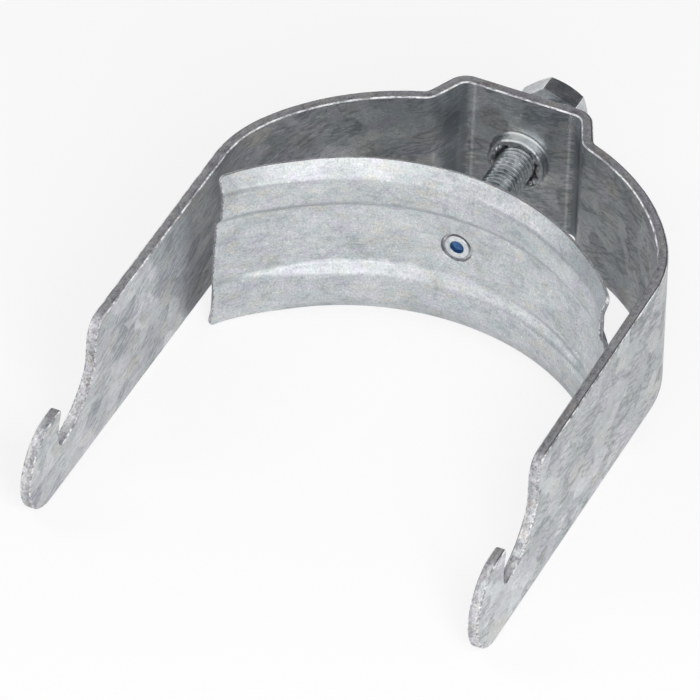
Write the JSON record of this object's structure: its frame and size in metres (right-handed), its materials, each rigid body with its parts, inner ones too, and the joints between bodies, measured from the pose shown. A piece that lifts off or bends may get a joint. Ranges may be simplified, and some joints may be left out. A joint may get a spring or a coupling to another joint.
{
  "type": "strut pipe clamp",
  "caption": "U-shaped steel pipe clamp with hooked feet for channel rail, a hexagon pressure screw in its crown and a curved ribbed saddle on the screw's tip.",
  "frame": {"origin": "centre of the pipe's seat, at mid width of the strap and the saddle", "axes": "+Z along the pipe's axis, +Y along the screw's axis towards its head, +X across the legs so that the hooks' notches open towards +Z. The clamp lies on its side as pictured."},
  "size_m": [0.1294, 0.197, 0.0496],
  "materials": {
    "galvanised_strip": "hot-dip galvanised, streaky satin",
    "galvanised_sheet": "galvanised sheet, finely speckled satin",
    "zinc_plated_screw": "bright zinc plating with a bluish passivation"
  },
  "bodies": {
    "strap": {"strap": "galvanised_strip"},
    "saddle": {"saddle": "galvanised_sheet"},
    "screw": {"screw": "zinc_plated_screw"}
  },
  "joints": [
    {"name": "saddle_travel", "type": "slide", "parent": "strap", "child": "saddle", "axis": [0, -1, 0], "range_m": [-0.028, 0.01475]},
    {"name": "screw_turn", "type": "hinge", "parent": "saddle", "child": "screw", "pos_m": [0, 0.0635, 0], "axis": [0, -1, 0], "range_deg": [-6720, 3540]}
  ],
  "couplings": [
    {"joint": "screw_turn", "follows": "saddle_travel", "rad_per_m": 4188.8}
  ]
}
